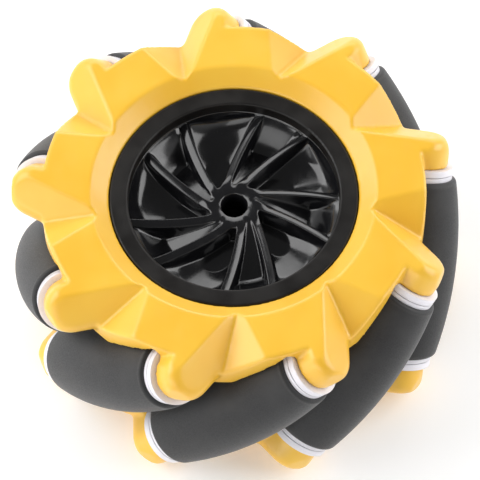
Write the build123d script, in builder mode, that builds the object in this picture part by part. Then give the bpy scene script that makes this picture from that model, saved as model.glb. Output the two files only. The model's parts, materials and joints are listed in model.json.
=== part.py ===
from build123d import *
from math import cos, pi, radians, sin, sqrt
import os

# A 45 degree omnidirectional wheel lying on its back face: the axle runs along +Z, the outer
# face looks up, and the origin is the centre of the wheel. All sizes are in millimetres.

# Rollers
wheel_radius = 48.5
roller_count = 9
roller_tilt = 45
first_roller_angle = 69.6
neighbour_gap = 0.6
tread_half_length = 20.0
tread_edge_radius = 0.9
tread_thickness = 2.2
flange_lip = 0.9
flange_thickness = 1.0
washer_thickness = 1.4
axial_play = 0.15
axle_radius = 1.5
axle_running_gap = 0.08
bond_gap = 0.03

# Yellow half shells
boss_undersize = 1.2
boss_length = 6.5
bore_bottom = 2.0
boss_cap_trim = 1.4
lobe_ground_gap = 0.8
boss_web_length = 8.5
roller_clearance = 0.5
rim_margin = 2.4
skirt_depth = 10.3
barrel_clearance = 0.8
valley_inset = 5.1
valley_drop = 4.7
valley_slope = 33
valley_opening = 114
bore_chamfer_width = 3.9
bezel_recess = 2.85
facet_round = 0.4
lobe_round = 2.6

# Black hub parts
bezel_step = 1.3
ledge_width = 1.5
bezel_width = 4.0
bezel_thickness = 3.0
bezel_round = 0.5
seat_gap = 0.1
disc_wall = 2.4
disc_depth = 9.0
floor_thickness = 2.5
floor_round = 2.0
spoke_count = 5
first_spoke_angle = 131.5
spoke_sweep = 40
rim_spread = 14
root_spread = 23
spoke_bow = 4
rib_width = 1.5
rib_rim_drop = 3.2
centre_boss_drop = 4.2
web_drop = 1.8
centre_boss_radius = 5.1
axle_screw_radius = 2.8
centre_tube_wall = 3.0
hex_across_flats = 12.2
hex_depth = 12.0
hex_wall = 3.4
hub_plate_thickness = 3.5
hub_web_thickness = 1.8
hub_web_height = 2.0
screw_radius = 1.5
screw_grip = 5.6
screw_head_radius = 2.8
screw_head_height = 1.8
screw_drive_radius = 1.4
screw_drive_depth = 1.0
post_wall = 1.9
pilot_depth = 6.0
pilot_gap = 0.03
shank_gap = 0.2

# Places that follow from the sizes above
tilt = radians(roller_tilt)
half_pitch = pi / roller_count


def closest_station(circle):
    """Distance along a roller's axis to the point nearest the next roller's axis."""
    across = (sin(tilt) * cos(half_pitch)) ** 2 + cos(tilt) ** 2
    return circle * sin(half_pitch) * sin(tilt) * cos(half_pitch) / across


def axis_distance(circle):
    """Shortest distance between the axes of two neighbouring rollers."""
    across = (sin(tilt) * cos(half_pitch)) ** 2 + cos(tilt) ** 2
    return 2 * circle * sin(half_pitch) * cos(tilt) / sqrt(across)


def crown_fall(station, circle):
    """How much thinner a roller is at this station than at its middle."""
    reach = sqrt(circle**2 + (station * sin(tilt)) ** 2)
    return reach - circle


# The rollers fill the circle: each is as fat as its neighbours allow
roller_circle = wheel_radius
for step in range(40):
    waist = (axis_distance(roller_circle) - neighbour_gap) / 2
    fall = crown_fall(closest_station(roller_circle), roller_circle)
    roller_circle = wheel_radius - waist - fall
roller_radius = wheel_radius - roller_circle


def crown_point(foot):
    """Station and radius where the rolling cylinder touches the roller, from a foot on its axis."""
    reach = sqrt(roller_circle**2 + (foot * sin(tilt)) ** 2)
    rise = foot * sin(tilt) ** 2 / reach
    margin = wheel_radius - reach
    return foot + margin * rise, margin * sqrt(1 - rise**2)


foot = tread_half_length
for step in range(40):
    foot = foot + tread_half_length - crown_point(foot)[0]
tread_end_radius = crown_point(foot)[1]

flange_radius = tread_end_radius - flange_lip
flange_face = tread_half_length + flange_thickness
boss_face = flange_face + axial_play + washer_thickness
boss_end = boss_face + boss_length
boss_radius = flange_radius - boss_undersize
bore_depth = boss_length - bore_bottom
core_radius = tread_end_radius - tread_thickness

facet_height = (boss_end + boss_radius) * cos(tilt) - boss_cap_trim
ring_height = facet_height - bezel_recess
skirt_height = facet_height - skirt_depth
rim_radius = roller_circle + rim_margin
barrel_radius = roller_circle - roller_radius - barrel_clearance
bezel_radius = barrel_radius - bezel_step
ledge_radius = bezel_radius - ledge_width
ledge_height = ring_height - bezel_thickness
bezel_bore = bezel_radius - bezel_width
disc_radius = ledge_radius - seat_gap
disc_bore = disc_radius - disc_wall
floor_top = ring_height - disc_depth
floor_bottom = floor_top - floor_thickness
centre_boss_top = ring_height - centre_boss_drop
hex_boss_radius = hex_across_flats / sqrt(3) + hex_wall
screw_circle = (hex_boss_radius + disc_bore) / 2
post_radius = screw_radius + post_wall
screw_seat = screw_head_height + shank_gap - ledge_height

roller_angles = [first_roller_angle - 360 / roller_count * index for index in range(roller_count)]
wheel_centre = Vector(0, 0, 0)
up = Vector(0, 0, 1)


def direction(angle):
    return Vector(cos(radians(angle)), sin(radians(angle)), 0)


def roller_plane(angle, station=0.0):
    """Plane across a roller's axis: local X points away from the wheel's axis."""
    outward = direction(angle)
    along = direction(angle + 90) * sin(tilt) + up * cos(tilt)
    return Plane(origin=outward * roller_circle + along * station, x_dir=outward, z_dir=along)


def profile_plane(angle):
    """Plane through a roller's axis: local X is the radius, local Y runs along the axis."""
    across = roller_plane(angle)
    return Plane(origin=across.origin, x_dir=across.x_dir, z_dir=across.y_dir * -1)


def roller_axis(angle):
    across = roller_plane(angle)
    return Axis(across.origin, across.z_dir)


def finish(builder, name):
    builder.part.label = name
    export_step(builder.part, f"parts/{name}.step")
    print(name, round(builder.part.volume / 1000, 2), "cm3")


os.makedirs("parts", exist_ok=True)

# Roller treads: rubber sleeves whose crown keeps the wheel round
for number, angle in enumerate(roller_angles, 1):
    with BuildPart() as roller_tread:
        with BuildSketch(profile_plane(angle)) as tread_profile:
            with BuildLine():
                ThreePointArc(
                    (tread_end_radius, -tread_half_length),
                    (roller_radius, 0),
                    (tread_end_radius, tread_half_length),
                )
                Polyline(
                    (tread_end_radius, tread_half_length),
                    (core_radius + bond_gap, tread_half_length),
                    (core_radius + bond_gap, -tread_half_length),
                    (tread_end_radius, -tread_half_length),
                )
            make_face()
            fillet(tread_profile.vertices().group_by(Axis.X)[-1], tread_edge_radius)
        revolve(axis=roller_axis(angle))
    finish(roller_tread, f"roller_tread_{number}")

# Roller cores: white spools that carry the treads and turn on the axles
for number, angle in enumerate(roller_angles, 1):
    with BuildPart() as roller_core:
        with BuildSketch(roller_plane(angle, -flange_face)):
            Circle(flange_radius)
        extrude(amount=flange_thickness)
        with BuildSketch(roller_plane(angle, -tread_half_length)):
            Circle(core_radius)
        extrude(amount=2 * tread_half_length)
        with BuildSketch(roller_plane(angle, tread_half_length)):
            Circle(flange_radius)
        extrude(amount=flange_thickness)
        with BuildSketch(roller_plane(angle, -flange_face)):
            Circle(axle_radius + axle_running_gap)
        extrude(amount=2 * flange_face, mode=Mode.SUBTRACT)
    finish(roller_core, f"roller_core_{number}")

# Roller axles: steel pins held in blind bores of the two shells
for number, angle in enumerate(roller_angles, 1):
    with BuildPart() as roller_axle:
        with BuildSketch(roller_plane(angle, -boss_face - bore_depth)):
            Circle(axle_radius)
        extrude(amount=2 * (boss_face + bore_depth))
        chamfer(roller_axle.edges().filter_by(GeomType.CIRCLE), axle_radius / 4)
    finish(roller_axle, f"roller_axle_{number}")

# Thrust washers between the spools and the shell bosses, nine at each side
for name, station in (
    ("thrust_washers_front", boss_face - washer_thickness),
    ("thrust_washers_back", -boss_face),
):
    with BuildPart() as thrust_washers:
        for angle in roller_angles:
            with BuildSketch(roller_plane(angle, station)):
                Circle(flange_radius)
                Circle(axle_radius + axle_running_gap, mode=Mode.SUBTRACT)
            extrude(amount=washer_thickness)
    finish(thrust_washers, name)


def valley_plane(angle):
    """Plane across the valley beside a lobe: local Z climbs the valley, local X leaves the lobe."""
    across = roller_plane(angle, boss_end)
    lift = across.y_dir * -1
    slope = radians(valley_slope)
    foot_point = across.origin - across.x_dir * valley_inset - lift * valley_drop
    climb = across.x_dir * -cos(slope) + lift * sin(slope)
    return Plane(origin=foot_point, x_dir=across.z_dir, z_dir=climb)


# Lobe: a round-ended boss that holds one end of an axle, with a web that ties it to the ring
with BuildPart() as lobe:
    with BuildSketch(roller_plane(first_roller_angle, boss_face)):
        Circle(boss_radius)
        with Locations((-boss_web_length / 2, 0)):
            Rectangle(boss_web_length, 2 * boss_radius)
    extrude(amount=boss_length)
    fillet(lobe.faces().sort_by(roller_axis(first_roller_angle))[-1].edges(), lobe_round)

# Front shell: a ring with nine lobes, cut into facets, over a barrel that reaches the mid plane
with BuildPart() as front_shell:
    with BuildSketch(Plane.XZ):
        with BuildLine():
            Polyline(
                (ledge_radius, 0),
                (barrel_radius, 0),
                (barrel_radius, skirt_height),
                (rim_radius, skirt_height),
                (rim_radius, facet_height),
                (bezel_radius + seat_gap + bore_chamfer_width, facet_height),
                (bezel_radius + seat_gap, ring_height),
                (bezel_radius + seat_gap, ledge_height),
                (ledge_radius, ledge_height),
                close=True,
            )
        make_face()
    revolve(axis=Axis.Z)
    for angle in roller_angles:
        add(lobe.part.rotate(Axis.Z, angle - first_roller_angle))
    with BuildSketch(Plane.XY):
        Circle(wheel_radius - lobe_ground_gap)
    extrude(amount=facet_height, mode=Mode.INTERSECT)
    opening = radians(valley_opening)
    for angle in roller_angles:
        with BuildSketch(valley_plane(angle)):
            with BuildLine():
                Polyline(
                    (0, 0),
                    (0, -wheel_radius / 2),
                    (wheel_radius / 2, -wheel_radius / 2),
                    (wheel_radius / 2 * sin(opening), -wheel_radius / 2 * cos(opening)),
                    close=True,
                )
            make_face()
        extrude(amount=wheel_radius / 2, both=True, mode=Mode.SUBTRACT)
    for angle in roller_angles:
        with BuildSketch(profile_plane(angle)):
            with BuildLine():
                ThreePointArc(
                    (tread_end_radius + roller_clearance, -tread_half_length),
                    (roller_radius + roller_clearance, 0),
                    (tread_end_radius + roller_clearance, tread_half_length),
                )
                Polyline(
                    (tread_end_radius + roller_clearance, tread_half_length),
                    (tread_end_radius + roller_clearance, boss_face),
                    (0, boss_face),
                    (0, -boss_face),
                    (tread_end_radius + roller_clearance, -boss_face),
                    (tread_end_radius + roller_clearance, -tread_half_length),
                )
            make_face()
        revolve(axis=roller_axis(angle), mode=Mode.SUBTRACT)
    for angle in roller_angles:
        with BuildSketch(roller_plane(angle, boss_face)):
            Circle(axle_radius + pilot_gap)
        extrude(amount=bore_depth + pilot_gap, mode=Mode.SUBTRACT)
    facet_edges = front_shell.edges().group_by(Axis.Z)[-1]
    fillet(facet_edges.filter_by(lambda edge: edge.length > boss_radius), facet_round)
finish(front_shell, "front_shell")

# Back shell: the same moulding, turned over about the first roller's radius
turning_axis = Axis(wheel_centre, direction(first_roller_angle))
with BuildPart() as back_shell:
    add(front_shell.part.rotate(turning_axis, 180))
finish(back_shell, "back_shell")


# Bezel: the flat black ring around the spokes, seated on the shell's ledge and the disc's rim
with BuildPart() as front_bezel:
    with BuildSketch(Plane.XY.offset(ledge_height)):
        Circle(bezel_radius)
        Circle(bezel_bore, mode=Mode.SUBTRACT)
    extrude(amount=bezel_thickness)
    fillet(front_bezel.edges().group_by(Axis.Z)[-1], bezel_round)
finish(front_bezel, "front_bezel")


def polar(radius, angle):
    return direction(angle) * radius


def spoke_edge(rim_angle, side):
    """Arc along one edge of a spoke, from inside the centre boss to inside the rim wall."""
    rim_end = rim_angle - side * rim_spread
    root_end = rim_angle + spoke_sweep - side * root_spread
    start = centre_boss_radius - rib_width / 2
    stop = disc_bore + disc_wall / 2
    middle = polar(start, root_end) + polar(stop, rim_end)
    bulge = direction((rim_end + root_end) / 2 + 90) * spoke_bow * (stop - start) / stop
    return ThreePointArc(polar(start, root_end), middle / 2 + bulge / 4, polar(stop, rim_end))


def dish_outline(drop):
    """Corners of the space above a shallow cone that falls from the rim to the centre boss."""
    boss_height = centre_boss_top - drop
    rim_height = ring_height - rib_rim_drop - drop
    fall = (rim_height - boss_height) / (disc_bore - centre_boss_radius)
    return (
        (0, boss_height),
        (centre_boss_radius, boss_height),
        (wheel_radius, boss_height + fall * (wheel_radius - centre_boss_radius)),
        (wheel_radius, 2 * facet_height),
        (0, 2 * facet_height),
    )


spoke_angles = [first_spoke_angle - 360 / spoke_count * index for index in range(spoke_count)]

# Spoke webs: the sunk wedge between the two ribs of each spoke
with BuildPart() as spoke_webs:
    for angle in spoke_angles:
        with BuildSketch(Plane.XY.offset(floor_bottom)):
            with BuildLine():
                leading = spoke_edge(angle, 1)
                trailing = spoke_edge(angle, -1)
                Line(leading @ 0, trailing @ 0)
                Line(leading @ 1, trailing @ 1)
            make_face()
        extrude(amount=ledge_height - floor_bottom)
    with BuildSketch(Plane.XZ):
        with BuildLine():
            Polyline(*dish_outline(web_drop), close=True)
        make_face()
    revolve(axis=Axis.Z, mode=Mode.SUBTRACT)

# Spoke ribs: two raised edges for each spoke
with BuildPart() as spoke_ribs:
    for angle in spoke_angles:
        for side in (1, -1):
            with BuildSketch(Plane.XY.offset(floor_bottom)):
                with BuildLine():
                    spoke_edge(angle, side)
                trace(line_width=rib_width)
            extrude(amount=ledge_height - floor_bottom)
    with BuildSketch(Plane.XZ):
        with BuildLine():
            Polyline(*dish_outline(0), close=True)
        make_face()
    revolve(axis=Axis.Z, mode=Mode.SUBTRACT)

# Spoke disc: a dished rim whose five swept spokes are wedges edged with two ribs each
with BuildPart() as front_spoke_disc:
    with BuildSketch(Plane.XZ) as disc_section:
        with BuildLine():
            Polyline(
                (0, 0),
                (axle_screw_radius + centre_tube_wall, 0),
                (axle_screw_radius + centre_tube_wall, floor_bottom),
                (disc_radius, floor_bottom),
                (disc_radius, ledge_height),
                (disc_bore, ledge_height),
                (disc_bore, floor_top),
                (0, floor_top),
                close=True,
            )
        make_face()
        inner_corner = disc_section.vertices().sort_by_distance((disc_bore, floor_top))[0]
        fillet(inner_corner, floor_round)
    revolve(axis=Axis.Z)
    add(spoke_webs.part)
    add(spoke_ribs.part)
    with BuildSketch(Plane.XY.offset(floor_bottom)):
        Circle(centre_boss_radius)
    extrude(amount=centre_boss_top - floor_bottom)
    with BuildSketch(Plane.XY):
        with PolarLocations(screw_circle, spoke_count, first_spoke_angle):
            Circle(post_radius)
    extrude(amount=floor_bottom)
    with BuildSketch(Plane.XY):
        with PolarLocations(screw_circle, spoke_count, first_spoke_angle):
            Circle(screw_radius + pilot_gap)
    extrude(amount=pilot_depth, mode=Mode.SUBTRACT)
    with BuildSketch(Plane.XY):
        Circle(axle_screw_radius)
    extrude(amount=ring_height, mode=Mode.SUBTRACT)
finish(front_spoke_disc, "front_spoke_disc")

# Back hub: the plate that the motor's hex coupling drives, clamped to the spoke disc
with BuildPart() as back_hub:
    with BuildSketch(Plane.XZ):
        with BuildLine():
            Polyline(
                (0, 0),
                (hex_boss_radius, 0),
                (hex_boss_radius, hub_plate_thickness - ledge_height),
                (disc_radius, hub_plate_thickness - ledge_height),
                (disc_radius, -ledge_height),
                (bezel_radius, -ledge_height),
                (bezel_radius, -ring_height),
                (bezel_bore, -ring_height),
                (bezel_bore, -ledge_height),
                (hex_boss_radius, -ledge_height),
                (hex_boss_radius, -ring_height),
                (0, -ring_height),
                close=True,
            )
        make_face()
    revolve(axis=Axis.Z)
    web_length = (bezel_bore - hex_boss_radius) / 2 + bezel_width / 2
    with BuildSketch(Plane.XY.offset(-ledge_height - hub_web_height)):
        with PolarLocations(bezel_bore - web_length / 2 + 1, spoke_count, first_spoke_angle + 36):
            Rectangle(web_length, hub_web_thickness)
    extrude(amount=hub_web_height + hub_plate_thickness / 2)
    with BuildSketch(Plane.XY.offset(hub_plate_thickness / 2 - ledge_height)):
        with PolarLocations(screw_circle, spoke_count, first_spoke_angle):
            Circle(post_radius)
    extrude(amount=ledge_height - hub_plate_thickness / 2)
    with BuildSketch(Plane.XY.offset(-ledge_height)):
        with PolarLocations(screw_circle, spoke_count, first_spoke_angle):
            Circle(screw_radius + shank_gap)
    extrude(amount=ledge_height, mode=Mode.SUBTRACT)
    with BuildSketch(Plane.XY.offset(-ledge_height)):
        with PolarLocations(screw_circle, spoke_count, first_spoke_angle):
            Circle(screw_head_radius + shank_gap)
    extrude(amount=screw_seat + ledge_height, mode=Mode.SUBTRACT)
    with BuildSketch(Plane.XY.offset(-ring_height)):
        RegularPolygon(hex_across_flats / 2, 6, major_radius=False)
    extrude(amount=hex_depth, mode=Mode.SUBTRACT)
    with BuildSketch(Plane.XY.offset(-ring_height)):
        Circle(axle_screw_radius)
    extrude(amount=ring_height, mode=Mode.SUBTRACT)
finish(back_hub, "back_hub")

# Hub screws: five in a ring, driven from the back into the posts under the spoke disc
with BuildPart() as hub_screws:
    with BuildSketch(Plane.XY.offset(screw_seat)):
        with PolarLocations(screw_circle, spoke_count, first_spoke_angle):
            Circle(screw_radius)
    extrude(amount=screw_grip - screw_seat)
    with BuildSketch(Plane.XY.offset(screw_seat)):
        with PolarLocations(screw_circle, spoke_count, first_spoke_angle):
            Circle(screw_head_radius)
    extrude(amount=-screw_head_height)
    with BuildSketch(Plane.XY.offset(screw_seat - screw_head_height)):
        with PolarLocations(screw_circle, spoke_count, first_spoke_angle):
            RegularPolygon(screw_drive_radius, 6)
    extrude(amount=screw_drive_depth, mode=Mode.SUBTRACT)
finish(hub_screws, "hub_screws")

print("diameter", 2 * wheel_radius, "width", round(2 * facet_height, 2))
print("roller circle", round(roller_circle, 3), "roller radius", round(roller_radius, 3))
print("tread end radius", round(tread_end_radius, 3), "ring height", round(ring_height, 3))
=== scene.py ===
import bmesh
import bpy
import json
import math
from mathutils import Matrix, Vector


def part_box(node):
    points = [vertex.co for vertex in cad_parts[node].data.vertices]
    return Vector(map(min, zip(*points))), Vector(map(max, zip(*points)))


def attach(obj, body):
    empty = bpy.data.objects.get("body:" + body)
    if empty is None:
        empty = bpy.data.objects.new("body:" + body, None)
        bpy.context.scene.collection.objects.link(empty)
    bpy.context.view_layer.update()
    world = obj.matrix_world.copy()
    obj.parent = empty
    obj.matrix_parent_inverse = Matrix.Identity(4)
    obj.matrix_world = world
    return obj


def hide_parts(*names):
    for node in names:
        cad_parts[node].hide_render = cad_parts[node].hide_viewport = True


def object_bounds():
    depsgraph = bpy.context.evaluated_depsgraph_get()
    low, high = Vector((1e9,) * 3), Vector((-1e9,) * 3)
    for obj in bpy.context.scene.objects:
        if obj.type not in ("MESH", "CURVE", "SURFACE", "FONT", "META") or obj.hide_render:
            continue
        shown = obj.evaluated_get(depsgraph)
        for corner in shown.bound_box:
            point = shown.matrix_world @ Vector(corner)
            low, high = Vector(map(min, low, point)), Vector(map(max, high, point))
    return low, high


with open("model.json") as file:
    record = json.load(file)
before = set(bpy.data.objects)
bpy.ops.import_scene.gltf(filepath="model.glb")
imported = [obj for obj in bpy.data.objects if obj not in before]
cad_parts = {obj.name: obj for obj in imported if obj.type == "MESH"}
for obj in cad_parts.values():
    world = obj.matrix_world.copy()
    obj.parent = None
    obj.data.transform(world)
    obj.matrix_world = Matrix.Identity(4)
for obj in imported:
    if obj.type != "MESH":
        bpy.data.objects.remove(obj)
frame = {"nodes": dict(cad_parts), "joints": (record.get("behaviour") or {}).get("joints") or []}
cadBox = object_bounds()

mm = 0.001

# where the wheel rests and which rollers it holds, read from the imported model
restHeight = cadBox[0].z  # the wheel lies on the ridges of its back shell
rollerJoints = {joint["child"]: joint for joint in frame["joints"]}
rollerCount = len(rollerJoints)
print("frame loaded,", len(frame["nodes"]), "parts and", rollerCount, "rollers")


# a material is a tree of small building blocks, all measured in metres on the part itself

def startFinish(name):
    finish = bpy.data.materials.new(name)
    finish.use_nodes = True
    tree = finish.node_tree
    tree.nodes.clear()
    output = tree.nodes.new("ShaderNodeOutputMaterial")
    surface = tree.nodes.new("ShaderNodeBsdfPrincipled")
    tree.links.new(surface.outputs["BSDF"], output.inputs["Surface"])
    place = tree.nodes.new("ShaderNodeTexCoord").outputs["Object"]
    return finish, tree, surface, place


def speckle(tree, place, grainSize, detail=3.0, stretch=None, turn=0.0):
    # soft noise whose blotches are about grainSize metres across
    if stretch:
        mapping = tree.nodes.new("ShaderNodeMapping")
        mapping.inputs["Scale"].default_value = stretch
        mapping.inputs["Rotation"].default_value = (0.0, 0.0, turn)
        tree.links.new(place, mapping.inputs["Vector"])
        place = mapping.outputs["Vector"]
    noise = tree.nodes.new("ShaderNodeTexNoise")
    noise.inputs["Scale"].default_value = 1.0 / grainSize
    noise.inputs["Detail"].default_value = detail
    noise.inputs["Roughness"].default_value = 0.55
    tree.links.new(place, noise.inputs["Vector"])
    return noise.outputs["Fac"]


def spread(tree, value, lowIn, highIn, lowOut, highOut):
    # eases a value from one range into another
    ramp = tree.nodes.new("ShaderNodeMapRange")
    ramp.interpolation_type = "SMOOTHSTEP"
    ramp.inputs["From Min"].default_value = lowIn
    ramp.inputs["From Max"].default_value = highIn
    ramp.inputs["To Min"].default_value = lowOut
    ramp.inputs["To Max"].default_value = highOut
    tree.links.new(value, ramp.inputs["Value"])
    return ramp.outputs["Result"]


def combine(tree, way, first, second):
    result = tree.nodes.new("ShaderNodeMath")
    result.operation = way
    for socket, source in zip(result.inputs, (first, second)):
        if isinstance(source, float):
            socket.default_value = source
        else:
            tree.links.new(source, socket)
    return result.outputs["Value"]


def tint(tree, amount, fromColour, toColour):
    # blends two colours, each a plain colour or the outcome of an earlier blend
    mix = tree.nodes.new("ShaderNodeMix")
    mix.data_type = "RGBA"
    tree.links.new(amount, mix.inputs["Factor"])
    for socket, source in ((mix.inputs["A"], fromColour), (mix.inputs["B"], toColour)):
        if isinstance(source, tuple):
            socket.default_value = (*source, 1.0)
        else:
            tree.links.new(source, socket)
    return mix.outputs["Result"]


def roundedNormal(tree, radius):
    # moulded edges are never knife sharp: shade them as if rounded
    bevel = tree.nodes.new("ShaderNodeBevel")
    bevel.samples = 6
    bevel.inputs["Radius"].default_value = radius
    return bevel.outputs["Normal"]


def edgeWear(tree, rounded, strength):
    # strength on worn edges, 0 on open faces
    geometry = tree.nodes.new("ShaderNodeNewGeometry")
    dot = tree.nodes.new("ShaderNodeVectorMath")
    dot.operation = "DOT_PRODUCT"
    tree.links.new(rounded, dot.inputs[0])
    tree.links.new(geometry.outputs["Normal"], dot.inputs[1])
    return spread(tree, dot.outputs["Value"], 0.995, 0.85, 0.0, strength)


def raised(tree, height, strength, depth, rounded=None):
    bump = tree.nodes.new("ShaderNodeBump")
    bump.inputs["Strength"].default_value = strength
    bump.inputs["Distance"].default_value = depth
    tree.links.new(height, bump.inputs["Height"])
    if rounded is not None:
        tree.links.new(rounded, bump.inputs["Normal"])
    return bump.outputs["Normal"]


def corners(tree, reach, fullDark):
    # how far a point sits in a crevice, by ambient occlusion, for painted shade: 1 in the open, fullDark in
    # deep corners
    shade = tree.nodes.new("ShaderNodeAmbientOcclusion")
    shade.samples = 6
    shade.inputs["Distance"].default_value = reach
    return spread(tree, shade.outputs["AO"], 0.25, 0.9, fullDark, 1.0)


def crest(tree, strength):
    # strength along outward edges of a finely meshed piece, from its curvature
    geometry = tree.nodes.new("ShaderNodeNewGeometry")
    return spread(tree, geometry.outputs["Pointiness"], 0.52, 0.60, 0.0, strength)


def show(name, mesh, body, replaced):
    # puts a modelled piece in the scene, on the body it moves with, in place of a plain part
    piece = bpy.data.objects.new(name, mesh)
    bpy.context.scene.collection.objects.link(piece)
    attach(piece, body)
    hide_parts(replaced)


def dress(finish, *names):
    for name in names:
        for slot in frame["nodes"][name].material_slots:
            slot.material = finish


shell = {
    "colour": (0.90, 0.53, 0.050),
    "deepColour": (0.88, 0.49, 0.036),
    "paleColour": (0.95, 0.62, 0.16),
    "edgeFade": 0.15,  # how much paler the crests of the facets are
    "fadeGrain": 3.0 * mm,
    "cloudGrain": 14.0 * mm,
    "roughness": (0.30, 0.40),
    "skinGrain": 0.5 * mm,
    "skinDepth": 0.012 * mm,
    "scratchGrain": 2.5 * mm,
    "coat": 0.35,
    "coatRoughness": 0.33,
}


def yellowPlastic():
    finish, tree, surface, place = startFinish("yellowPlastic")
    cloud = speckle(tree, place, shell["cloudGrain"], 2.0)
    colour = tint(tree, spread(tree, cloud, 0.35, 0.65, 0.0, 1.0), shell["deepColour"], shell["colour"])
    patches = spread(tree, speckle(tree, place, shell["fadeGrain"]), 0.4, 0.6, 0.3, 1.0)
    # paler along the facets' crests, found from curvature, in random patches
    paleMarks = combine(tree, "MULTIPLY", crest(tree, shell["edgeFade"]), patches)
    colour = tint(tree, paleMarks, colour, shell["paleColour"])
    tree.links.new(colour, surface.inputs["Base Color"])
    scratch = speckle(tree, place, shell["scratchGrain"], 2.0, stretch=(1.0, 0.5, 0.8), turn=0.5)
    low, high = shell["roughness"]
    tree.links.new(spread(tree, scratch, 0.45, 0.75, low, high), surface.inputs["Roughness"])
    skin = speckle(tree, place, shell["skinGrain"], 3.0)
    tree.links.new(raised(tree, skin, 0.35, shell["skinDepth"]), surface.inputs["Normal"])
    surface.inputs["IOR"].default_value = 1.5
    surface.inputs["Coat Weight"].default_value = shell["coat"]
    surface.inputs["Coat Roughness"].default_value = shell["coatRoughness"]
    return finish


rubber = {
    "colour": (0.011, 0.011, 0.012),
    "dustColour": (0.040, 0.039, 0.038),
    "grain": 0.28 * mm,
    "grainDepth": 0.03 * mm,
    "treadHalf": 20.0 * mm,  # half the sleeve's length
    "seamWidth": 0.22 * mm,
    "streak": 1.6 * mm,
    "cloudGrain": 8.0 * mm,
    "sheen": 0.15,
    "sheenRoughness": 0.5,
}


def charcoalRubber():
    # rollerPlace is measured from each roller's middle, its first number along the roller's own axle
    finish, tree, surface, place = startFinish("charcoalRubber")
    onRoller = tree.nodes.new("ShaderNodeAttribute")
    onRoller.attribute_name = "rollerPlace"
    place = onRoller.outputs["Vector"]
    split = tree.nodes.new("ShaderNodeSeparateXYZ")
    tree.links.new(place, split.inputs["Vector"])
    along = combine(tree, "ABSOLUTE", split.outputs["X"], 0.0)
    across = combine(tree, "ABSOLUTE", split.outputs["Y"], 0.0)
    half = rubber["treadHalf"]
    grain = speckle(tree, place, rubber["grain"], 4.0)
    cloud = spread(tree, speckle(tree, place, rubber["cloudGrain"], 4.0), 0.42, 0.7, 0.0, 0.5)
    rubbed = speckle(tree, place, rubber["streak"], 3.0, stretch=(2.5, 0.25, 0.25))
    streaks = spread(tree, rubbed, 0.5, 0.75, 0.0, 0.3)
    crown = spread(tree, along, 0.35 * half, 0.85 * half, 1.0, 0.0)  # the crown touches the ground most
    dust = combine(tree, "MAXIMUM", combine(tree, "MULTIPLY", streaks, crown), cloud)
    dust = combine(tree, "MULTIPLY", dust, spread(tree, grain, 0.35, 0.65, 0.3, 1.0))
    lip = combine(tree, "MULTIPLY", spread(tree, along, 0.93 * half, 0.965 * half, 0.0, 1.0),
                  spread(tree, along, 0.97 * half, 0.985 * half, 1.0, 0.0))
    seam = spread(tree, across, 0.3 * rubber["seamWidth"], rubber["seamWidth"], 1.0, 0.0)
    moulded = combine(tree, "MULTIPLY", combine(tree, "MAXIMUM", lip, seam), 0.55)
    dust = combine(tree, "MAXIMUM", dust, moulded)
    tree.links.new(tint(tree, dust, rubber["colour"], rubber["dustColour"]), surface.inputs["Base Color"])
    tree.links.new(spread(tree, grain, 0.3, 0.7, 0.5, 0.72), surface.inputs["Roughness"])
    height = combine(tree, "ADD", combine(tree, "MULTIPLY", grain, 0.5), combine(tree, "MULTIPLY", seam, 1.5))
    tree.links.new(raised(tree, height, 0.5, rubber["grainDepth"]), surface.inputs["Normal"])
    surface.inputs["Sheen Weight"].default_value = rubber["sheen"]
    surface.inputs["Sheen Roughness"].default_value = rubber["sheenRoughness"]
    return finish


def buildTreads():
    # each rubber sleeve takes its exact shape from its part, and learns where its own axle lies
    finish = charcoalRubber()
    for child, joint in rollerJoints.items():
        number = child.split("_")[-1]
        node = "roller_tread_" + number
        mesh = frame["nodes"][node].data.copy()
        mesh.name = "treadSleeve" + number
        mesh.materials.clear()
        mesh.materials.append(finish)
        axle = Vector(joint["axis"]).normalized()
        middle = Vector(joint["pos_m"])
        outward = Vector((middle.x, middle.y, 0.0)).normalized()
        side = axle.cross(outward)
        places = mesh.attributes.new("rollerPlace", "FLOAT_VECTOR", "POINT")
        for index, vertex in enumerate(mesh.vertices):
            arm = vertex.co - middle
            places.data[index].vector = (arm.dot(axle), arm.dot(outward), arm.dot(side))
        show(mesh.name, mesh, child, node)
    print("rubber sleeves on", rollerCount, "rollers")


buildTreads()


whiteEnds = {
    "colour": (0.84, 0.82, 0.87),
    "cornerShadeColour": (0.60, 0.57, 0.60),
    "cornerShadeReach": 1.5 * mm,  # how far the painted shade spreads out of a crevice
    "edgeRadius": 0.2 * mm,
    "grain": 0.6 * mm,
    "grainDepth": 0.01 * mm,
    "glowThrough": 0.2,
    "glowReach": (1.0 * mm, 0.9 * mm, 0.9 * mm),
}


def whitePlastic():
    finish, tree, surface, place = startFinish("whitePlastic")
    rounded = roundedNormal(tree, whiteEnds["edgeRadius"])
    grain = speckle(tree, place, whiteEnds["grain"], 3.0)
    # painted shade: the white ends darken in crevices and between parts, by ambient occlusion, broken up by
    # grain
    paintedCornerShade = combine(tree, "SUBTRACT", 1.0, corners(tree, whiteEnds["cornerShadeReach"], 0.35))
    paintedCornerShade = combine(tree, "MULTIPLY", paintedCornerShade, spread(tree, grain, 0.3, 0.7, 0.4, 1.0))
    colour = tint(tree, paintedCornerShade, whiteEnds["colour"], whiteEnds["cornerShadeColour"])
    tree.links.new(colour, surface.inputs["Base Color"])
    tree.links.new(spread(tree, grain, 0.3, 0.7, 0.32, 0.48), surface.inputs["Roughness"])
    skin = raised(tree, grain, 0.2, whiteEnds["grainDepth"], rounded)
    tree.links.new(skin, surface.inputs["Normal"])
    surface.inputs["Subsurface Weight"].default_value = whiteEnds["glowThrough"]
    surface.inputs["Subsurface Radius"].default_value = whiteEnds["glowReach"]
    surface.inputs["Subsurface Scale"].default_value = 1.0
    return finish


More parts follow.
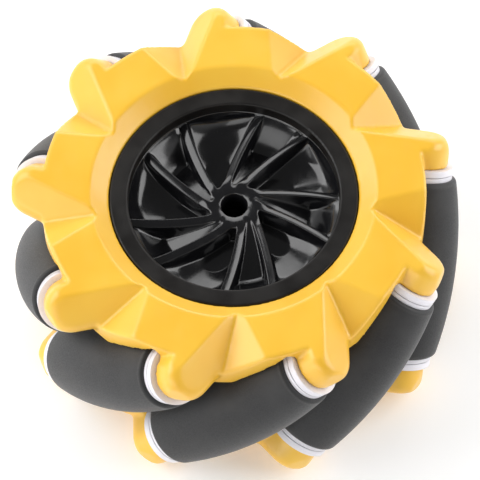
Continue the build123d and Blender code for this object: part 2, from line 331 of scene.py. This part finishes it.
bezelRing = {
    "colour": (0.006, 0.005, 0.0045),
    "wornColour": (0.022, 0.020, 0.018),
    "roughness": (0.34, 0.52),
    "mirror": 0.34,  # how strongly it reflects, 0.5 being common plastic
    "cloudGrain": 7.0 * mm,
    "edgeRadius": 0.3 * mm,
    "grain": 0.12 * mm,
    "grainDepth": 0.015 * mm,
}


def satinBlack():
    finish, tree, surface, place = startFinish("satinBlack")
    rounded = roundedNormal(tree, bezelRing["edgeRadius"])
    grain = speckle(tree, place, bezelRing["grain"], 2.0)
    cloud = speckle(tree, place, bezelRing["cloudGrain"], 3.0)
    paleMarks = combine(tree, "MAXIMUM", edgeWear(tree, rounded, 0.5), spread(tree, cloud, 0.45, 0.75, 0.0, 0.2))
    colour = tint(tree, paleMarks, bezelRing["colour"], bezelRing["wornColour"])
    tree.links.new(colour, surface.inputs["Base Color"])
    low, high = bezelRing["roughness"]
    tree.links.new(spread(tree, cloud, 0.3, 0.7, low, high), surface.inputs["Roughness"])
    tree.links.new(raised(tree, grain, 0.35, bezelRing["grainDepth"], rounded), surface.inputs["Normal"])
    surface.inputs["Specular IOR Level"].default_value = bezelRing["mirror"]
    return finish


spokeDisc = {
    "colour": (0.006, 0.006, 0.007),
    "dustColour": (0.045, 0.045, 0.045),
    "roughness": (0.11, 0.20),
    "edgeRadius": 0.35 * mm,
    "swirlGrain": 3.0 * mm,
    "swirlDepth": 0.05 * mm,
    "dustGrain": 0.25 * mm,
    "coat": 0.3,
    "coatRoughness": 0.10,
}


def glossBlack():
    finish, tree, surface, place = startFinish("glossBlack")
    rounded = roundedNormal(tree, spokeDisc["edgeRadius"])
    swirl = speckle(tree, place, spokeDisc["swirlGrain"], 4.0)
    specks = spread(tree, speckle(tree, place, spokeDisc["dustGrain"], 2.0), 0.62, 0.75, 0.0, 0.5)
    dust = combine(tree, "MULTIPLY", specks, spread(tree, swirl, 0.4, 0.6, 0.0, 1.0))
    colour = tint(tree, dust, spokeDisc["colour"], spokeDisc["dustColour"])
    tree.links.new(colour, surface.inputs["Base Color"])
    low, high = spokeDisc["roughness"]
    tree.links.new(spread(tree, swirl, 0.35, 0.65, low, high), surface.inputs["Roughness"])
    tree.links.new(raised(tree, swirl, 0.25, spokeDisc["swirlDepth"], rounded), surface.inputs["Normal"])
    surface.inputs["IOR"].default_value = 1.55
    surface.inputs["Coat Weight"].default_value = spokeDisc["coat"]
    surface.inputs["Coat Roughness"].default_value = spokeDisc["coatRoughness"]
    return finish


backHub = {
    "colour": (0.018, 0.018, 0.019),
    "wornColour": (0.07, 0.07, 0.07),
    "edgeRadius": 0.3 * mm,
    "grain": 0.25 * mm,
    "grainDepth": 0.03 * mm,
    "scuffGrain": 1.2 * mm,
}


def mouldedBlack():
    finish, tree, surface, place = startFinish("mouldedBlack")
    rounded = roundedNormal(tree, backHub["edgeRadius"])
    grain = speckle(tree, place, backHub["grain"], 3.0)
    scuff = speckle(tree, place, backHub["scuffGrain"], 3.0, stretch=(1.0, 0.2, 1.0), turn=0.9)
    paleMarks = combine(tree, "MAXIMUM", edgeWear(tree, rounded, 0.5), spread(tree, scuff, 0.58, 0.8, 0.0, 0.5))
    tree.links.new(tint(tree, paleMarks, backHub["colour"], backHub["wornColour"]), surface.inputs["Base Color"])
    tree.links.new(spread(tree, grain, 0.3, 0.7, 0.4, 0.6), surface.inputs["Roughness"])
    tree.links.new(raised(tree, grain, 0.5, backHub["grainDepth"], rounded), surface.inputs["Normal"])
    return finish


steelPins = {
    "colour": (0.56, 0.56, 0.57),
    "screwColour": (0.05, 0.05, 0.055),
    "roughness": 0.28,
    "screwRoughness": 0.35,
    "lineGrain": 0.15 * mm,
    "lineDepth": 0.01 * mm,
    "spotGrain": 1.5 * mm,
    "spotShade": 0.6,
}


def groundSteel(name, colour, roughness):
    finish, tree, surface, place = startFinish(name)
    lines = speckle(tree, place, steelPins["lineGrain"], 2.0, stretch=(1.0, 1.0, 0.08))
    spots = spread(tree, speckle(tree, place, steelPins["spotGrain"], 4.0), 0.4, 0.7, 0.0, 0.6)
    shade = tuple(steelPins["spotShade"] * part for part in colour)
    tree.links.new(tint(tree, spots, colour, shade), surface.inputs["Base Color"])
    tree.links.new(spread(tree, lines, 0.3, 0.7, roughness, roughness + 0.2), surface.inputs["Roughness"])
    tree.links.new(raised(tree, lines, 0.2, steelPins["lineDepth"]), surface.inputs["Normal"])
    surface.inputs["Metallic"].default_value = 1.0
    return finish


def numbered(stem):
    return [stem + "_" + str(number) for number in range(1, rollerCount + 1)]


dress(whitePlastic(), "thrust_washers_front", "thrust_washers_back", *numbered("roller_core"))
dress(satinBlack(), "front_bezel")
dress(mouldedBlack(), "back_hub")
dress(groundSteel("groundSteel", steelPins["colour"], steelPins["roughness"]), *numbered("roller_axle"))
dress(groundSteel("blackenedSteel", steelPins["screwColour"], steelPins["screwRoughness"]), "hub_screws")
print("finishes on every part")


# the two yellow half shells: one moulding, with every edge softened as the mould leaves it

softShells = {
    "parts": {"front_shell": "frontShellSkin", "back_shell": "backShellSkin"},
    "meshStep": 0.38 * mm,
    "softening": 6,  # rounds of smoothing
    "softShare": 0.5,  # how far each round moves a point
    "weld": 0.001 * mm,
    "kept": 0.45,  # share of the faces left after thinning
}


def keepLargest(mesh):
    # drops the crumbs that an even mesh can leave in a thin gap, and says how many there were
    work = bmesh.new()
    work.from_mesh(mesh)
    left = set(work.verts)
    groups = []
    while left:
        group, front = set(), [next(iter(left))]
        left.discard(front[0])
        while front:
            vertex = front.pop()
            group.add(vertex)
            for edge in vertex.link_edges:
                other = edge.other_vert(vertex)
                if other in left:
                    left.discard(other)
                    front.append(other)
        groups.append(group)
    largest = max(groups, key=len)
    bmesh.ops.delete(work, geom=[vertex for vertex in work.verts if vertex not in largest], context="VERTS")
    work.to_mesh(mesh)
    work.free()
    return len(groups) - 1


def softenShell(node, name, finish):
    # evens out the part's mesh, smooths it, thins it and keeps it inside the part's own box
    mesh = bpy.data.meshes.new(name + "Cast")
    work = bmesh.new()
    work.from_mesh(frame["nodes"][node].data)
    bmesh.ops.remove_doubles(work, verts=work.verts, dist=softShells["weld"])
    work.to_mesh(mesh)
    work.free()
    cast = bpy.data.objects.new(name + "Cast", mesh)
    bpy.context.scene.collection.objects.link(cast)
    even = cast.modifiers.new("evenMesh", "REMESH")
    even.mode = "VOXEL"
    even.voxel_size = softShells["meshStep"]
    soft = cast.modifiers.new("softEdges", "SMOOTH")
    soft.factor = softShells["softShare"]
    soft.iterations = softShells["softening"]
    thin = cast.modifiers.new("fewerFaces", "DECIMATE")
    thin.ratio = softShells["kept"]
    graph = bpy.context.evaluated_depsgraph_get()
    skin = bpy.data.meshes.new_from_object(cast.evaluated_get(graph))
    bpy.data.objects.remove(cast)
    crumbs = keepLargest(skin)
    skin.name = name
    lowest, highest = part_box(node)
    for vertex in skin.vertices:
        vertex.co = [min(max(place, low), high) for place, low, high in zip(vertex.co, lowest, highest)]
    skin.shade_smooth()
    skin.materials.clear()
    skin.materials.append(finish)
    show(name, skin, "wheel", node)
    print(name, "softened,", len(skin.polygons), "faces,", crumbs, "crumbs dropped")


shellFinish = yellowPlastic()
for node, name in softShells["parts"].items():
    softenShell(node, name, shellFinish)


# the glossy front disc: five swept spokes, each a sunk wedge between two rounded ribs

disc = {
    "spokes": 5,
    "firstSpoke": 131.5,  # degrees, where the first wedge meets the rim
    "sweep": 40.0,  # degrees from a wedge's tip at the rim to its root
    "rimSpread": 14.0,  # degrees from a wedge's middle to either rib, at the rim
    "rootSpread": 23.0,  # and at the boss
    "bow": 0.8 * mm,  # how far a rib bends off its straight line
    "rootWithin": 0.8,  # a rib's line starts this share of the boss's radius out
    "tipPast": 1.03,  # and ends this share of the rim's radius out
    "leastLean": 0.3,  # keeps a rib from smearing where it runs along a circle
    "crossingTries": 30,  # halvings of the search for where a rib crosses a circle
    "ribWidth": 1.8 * mm,
    "ribRound": 0.3 * mm,
    "ribSlant": 0.42,  # fall of the rib's top across its width, with the swirl
    "footSpread": 0.3 * mm,
    "bossRadius": 5.1 * mm,
    "bossBlend": 2.5 * mm,  # over which a rib takes its full shape as it leaves the boss
    "bossStep": 1.2 * mm,  # over which a pocket falls away from the boss
    "bossRound": 0.3 * mm,
    "holeRadius": 2.8 * mm,
    "bezelWidth": 4.0 * mm,
    "bossDrop": 4.2 * mm,  # below the bezel's face, like the next two
    "ribRimDrop": 3.2 * mm,
    "pocketDrop": 9.0 * mm,
    "wedgeStart": 0.3 * mm,
    "wedgeFall": 0.43,
    "wedgeLowest": 16.0 * mm,  # radius where a wedge starts to rise to the rim
    "wedgeRunOut": 1.0 * mm,
    "slopeStart": 14.5 * mm,  # radius where a pocket's floor starts to climb
    "slope": 0.26,
    "bowlStart": 20.0 * mm,  # radius where it curls up into the rim
    "bowlCorner": 3.0 * mm,
    "bowlHeight": 0.9,  # share of the way to the rim that the curl reaches
    "wedgeColumns": 10,
    "pocketColumns": 16,
    "rings": 72,
}

discLow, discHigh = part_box("front_spoke_disc")
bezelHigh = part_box("front_bezel")[1]
rimRadius = bezelHigh.x - disc["bezelWidth"]
bossTop = bezelHigh.z - disc["bossDrop"]
ribRimTop = bezelHigh.z - disc["ribRimDrop"]
pocketFloor = bezelHigh.z - disc["pocketDrop"]


def smoothRise(value, start, end):
    part = min(1.0, max(0.0, (value - start) / (end - start)))
    return part * part * (3.0 - 2.0 * part)


def onCircle(radius, degrees):
    angle = math.radians(degrees)
    return Vector((radius * math.cos(angle), radius * math.sin(angle)))


def ribCurve(side):
    # the middle line of a rib, as the three control points of a gentle curve
    rimEnd = -side * disc["rimSpread"]
    rootEnd = disc["sweep"] - side * disc["rootSpread"]
    root = onCircle(disc["bossRadius"] * disc["rootWithin"], rootEnd)
    tip = onCircle(rimRadius * disc["tipPast"], rimEnd)
    return root, (root + tip) / 2 + onCircle(2 * disc["bow"], (rimEnd + rootEnd) / 2 + 90.0), tip


def ribAngle(curve, radius):
    # where the rib crosses a circle, and how much wider it is there than straight across
    root, middle, tip = curve
    low, high = 0.0, 1.0
    for halving in range(disc["crossingTries"]):
        part = (low + high) / 2
        point = root * (1 - part) ** 2 + middle * 2 * part * (1 - part) + tip * part ** 2
        low, high = (part, high) if point.length < radius else (low, part)
    along = (middle - root) * (1 - part) + (tip - middle) * part
    lean = abs(along.normalized().dot(point.normalized()))
    return math.atan2(point.y, point.x), 1.0 / max(lean, disc["leastLean"])


def ribProfile(radius):
    # (shift from the middle line, drop below the rib's top), None where the rib meets what is beside it
    half, corner = disc["ribWidth"] / 2, disc["ribRound"]
    side = [(-half - disc["footSpread"], None)]
    for turn in (0.0, 30.0, 60.0, 90.0):
        turn = math.radians(turn)
        side.append((-half + corner * (1 - math.cos(turn)), corner * (1 - math.sin(turn))))
    profile = side + [(-shift, drop) for shift, drop in reversed(side)]
    full = smoothRise(radius, disc["bossRadius"], disc["bossRadius"] + disc["bossBlend"])
    return [(shift, drop if drop is None else full * (drop + disc["ribSlant"] * (shift + half)))
            for shift, drop in profile]


def ribTop(radius):
    part = (radius - disc["bossRadius"]) / (rimRadius - disc["bossRadius"])
    return bossTop + (ribRimTop - bossTop) * part


def wedgeHeight(radius):
    reach = min(radius, disc["wedgeLowest"]) - disc["bossRadius"]
    height = ribTop(radius) - disc["wedgeStart"] - disc["wedgeFall"] * reach
    bowl = smoothRise(radius, disc["wedgeLowest"], rimRadius + disc["wedgeRunOut"])
    return height + (ribRimTop - height) * bowl


def pocketHeight(radius, across):
    # across is -1 and 1 beside the ribs and 0 in the pocket's middle
    corner = disc["bowlCorner"] * across ** 2
    sloped = disc["slope"] * max(0.0, radius - disc["slopeStart"] + corner)
    start = disc["bowlStart"] - corner
    rise = min(1.0, max(0.0, (radius - start) / (rimRadius - start)))
    bowl = 1.0 - math.sqrt(1.0 - rise * rise)
    step = 1.0 - smoothRise(radius, disc["bossRadius"], disc["bossRadius"] + disc["bossStep"])
    rim = (ribRimTop - pocketFloor) * max(disc["bowlHeight"] * bowl, step)
    return pocketFloor + sloped * (1.0 - bowl) + rim


def between(first, last, steps):
    # the angles between two, each with its share of the way
    return [(step / steps, first + (last - first) * step / steps) for step in range(1, steps)]


def columnsAt(radius):
    # (angle, height) of each point across one wedge, its two ribs and the pocket after it
    top = ribTop(radius)
    beside = {"pocket": pocketHeight(radius, 1.0), "wedge": wedgeHeight(radius)}
    ribs = {}
    for side, before, after in ((1, "pocket", "wedge"), (-1, "wedge", "pocket")):
        angle, widen = ribAngle(ribCurve(side), radius)
        first, *middle, last = [(angle + shift * widen / radius, drop) for shift, drop in ribProfile(radius)]
        ribs[side] = [(first[0], beside[before])]
        ribs[side] += [(place, top - drop) for place, drop in middle]
        ribs[side] += [(last[0], beside[after])]
    nextRib = ribs[1][0][0] + math.tau / disc["spokes"]
    wedge = [(angle, beside["wedge"])
             for share, angle in between(ribs[1][-1][0], ribs[-1][0][0], disc["wedgeColumns"])]
    pocket = [(angle, pocketHeight(radius, 2 * share - 1))
              for share, angle in between(ribs[-1][-1][0], nextRib, disc["pocketColumns"])]
    return [(angle, min(top, height)) for angle, height in ribs[1] + wedge + ribs[-1] + pocket]


def ringAt(radius, level=None, alignedTo=None):
    # one circle of (radius, angle, height): it follows the relief unless it has a level of its own,
    # and then its points line up with the relief's at the radius it is aligned to
    columns = columnsAt(alignedTo or radius)
    ring = []
    for spoke in range(disc["spokes"]):
        shift = math.radians(disc["firstSpoke"]) + math.tau * spoke / disc["spokes"]
        ring += [(radius, angle + shift, height if level is None else level) for angle, height in columns]
    return ring


def buildSpokedDisc():
    hole, boss, rounding = disc["holeRadius"], disc["bossRadius"], disc["bossRound"]
    innerEdge = ((hole, discLow.z), (hole, bossTop - rounding), (hole + rounding, bossTop),
                 (boss - rounding, bossTop))
    outerEdge = ((rimRadius, discHigh.z), (discHigh.x, discHigh.z), (discHigh.x, discLow.z))
    rows = [ringAt(radius, level, boss) for radius, level in innerEdge]
    rows += [ringAt(boss + (rimRadius - boss) * step / disc["rings"]) for step in range(disc["rings"] + 1)]
    rows += [ringAt(radius, level, rimRadius) for radius, level in outerEdge]

    work = bmesh.new()
    grid = [[work.verts.new((r * math.cos(a), r * math.sin(a), z)) for r, a, z in row] for row in rows]
    count = len(rows[0])
    for inner, outer in zip(grid, grid[1:] + grid[:1]):
        for index in range(count):
            after = (index + 1) % count
            work.faces.new((inner[index], outer[index], outer[after], inner[after]))
    bmesh.ops.recalc_face_normals(work, faces=work.faces)
    mesh = bpy.data.meshes.new("spokedDisc")
    work.to_mesh(mesh)
    work.free()
    mesh.shade_smooth()
    mesh.materials.append(glossBlack())
    show("spokedDisc", mesh, "wheel", "front_spoke_disc")
    print("spoked disc built,", len(mesh.vertices), "points")


buildSpokedDisc()


# the stage: a pale floor with a painted glow, a soft grey room and five soft boxes

stage = {
    "floorReach": 6.0,
    "floorGap": 0.02 * mm,
    "floorColour": (0.86, 0.86, 0.86),
    "floorShade": 0.985,  # of the colour, in the floor's darker clouds
    "floorGrain": 0.05,
    "floorGlow": 0.30,
    "glowFrom": (0.025, 0.060),  # distances from the wheel's centre over which the floor's painted glow rises
    "roomLight": (0.14, 0.72),  # straight above and at the horizon
    "roomFade": (0.15, 0.75),  # heights between which one becomes the other
    "boxes": {  # place round the wheel in metres, size and power of each soft box
        "leftBox": {"at": (-0.56, 0.12, 0.46), "size": (0.7, 0.6), "power": 4.4},
        "rightBox": {"at": (0.62, 0.08, 0.36), "size": (0.7, 0.5), "power": 3.6},
        "farBox": {"at": (0.0, 0.66, 0.36), "size": (0.9, 0.4), "power": 2.6},
        "nearBox": {"at": (-0.32, -0.55, 0.28), "size": (0.6, 0.3), "power": 0.9},
        "lowBox": {"at": (-0.55, -0.30, 0.10), "size": (0.5, 0.2), "power": 0.6},
    },
}


def floorFinish():
    finish, tree, surface, place = startFinish("paleFloor")
    shade = tuple(stage["floorShade"] * part for part in stage["floorColour"])
    colour = tint(tree, speckle(tree, place, stage["floorGrain"], 3.0), stage["floorColour"], shade)
    tree.links.new(colour, surface.inputs["Base Color"])
    surface.inputs["Roughness"].default_value = 0.8
    surface.inputs["Specular IOR Level"].default_value = 0.2
    surface.inputs["Emission Color"].default_value = (1.0, 1.0, 1.0, 1.0)
    # painted light: the floor glows, from nothing close under the wheel to full strength away from it
    distance = tree.nodes.new("ShaderNodeVectorMath")
    distance.operation = "LENGTH"
    tree.links.new(place, distance.inputs[0])
    near, away = stage["glowFrom"]
    glow = spread(tree, distance.outputs["Value"], near, away, 0.0, stage["floorGlow"])
    tree.links.new(glow, surface.inputs["Emission Strength"])
    return finish


def layFloor():
    mesh = bpy.data.meshes.new("floor")
    work = bmesh.new()
    reach = stage["floorReach"]
    level = restHeight - stage["floorGap"]
    corners = ((-reach, -reach), (reach, -reach), (reach, reach), (-reach, reach))
    work.faces.new([work.verts.new((x, y, level)) for x, y in corners])
    work.to_mesh(mesh)
    work.free()
    floor = bpy.data.objects.new("floor", mesh)
    bpy.context.scene.collection.objects.link(floor)
    floor.data.materials.append(floorFinish())


def hangSoftBox(name, box):
    light = bpy.data.lights.new(name, "AREA")
    light.shape = "RECTANGLE"
    light.size, light.size_y = box["size"]
    light.energy = box["power"]
    lamp = bpy.data.objects.new(name, light)
    lamp.location = box["at"]
    lamp.rotation_euler = Vector(box["at"]).to_track_quat("Z", "Y").to_euler()
    bpy.context.scene.collection.objects.link(lamp)


def lightRoom():
    world = bpy.data.worlds.new("room")
    world.use_nodes = True
    tree = world.node_tree
    split = tree.nodes.new("ShaderNodeSeparateXYZ")
    tree.links.new(tree.nodes.new("ShaderNodeTexCoord").outputs["Generated"], split.inputs["Vector"])
    above, level = stage["roomLight"]
    bottom, top = stage["roomFade"]
    glow = spread(tree, split.outputs["Z"], bottom, top, level, above)
    room = tree.nodes["Background"]
    tree.links.new(glow, room.inputs["Strength"])
    room.inputs["Color"].default_value = (1.0, 1.0, 1.0, 1.0)
    bpy.context.scene.world = world
    for name, box in stage["boxes"].items():
        hangSoftBox(name, box)
    bpy.context.scene.view_settings.view_transform = "Standard"


layFloor()
lightRoom()
print("floor and lights in place")


# the camera looks down on the wheel from above its near side
viewpoint = {
    "lens": 246.0,  # millimetres, on a sensor of the width below
    "sensorWidth": 36.0,
    "distance": 0.7172,
    "leanFromUpright": 28.63,  # degrees
    "roll": -1.86,  # degrees
    "aim": (0.00102, 0.0001, 0.0),
    "sees": (0.01, 50.0),  # nearest and farthest distance drawn
}


def placeCamera():
    cameraData = bpy.data.cameras.new("mainCamera")
    cameraData.lens = viewpoint["lens"]
    cameraData.sensor_width = viewpoint["sensorWidth"]
    cameraData.clip_start, cameraData.clip_end = viewpoint["sees"]
    camera = bpy.data.objects.new("mainCamera", cameraData)
    turn = Matrix.Rotation(math.radians(viewpoint["leanFromUpright"]), 4, "X")
    turn = turn @ Matrix.Rotation(math.radians(viewpoint["roll"]), 4, "Z")
    back = turn @ Vector((0.0, 0.0, viewpoint["distance"]))
    camera.matrix_world = Matrix.Translation(Vector(viewpoint["aim"]) + back) @ turn
    bpy.context.scene.collection.objects.link(camera)
    bpy.context.scene.camera = camera


placeCamera()
print("camera set")
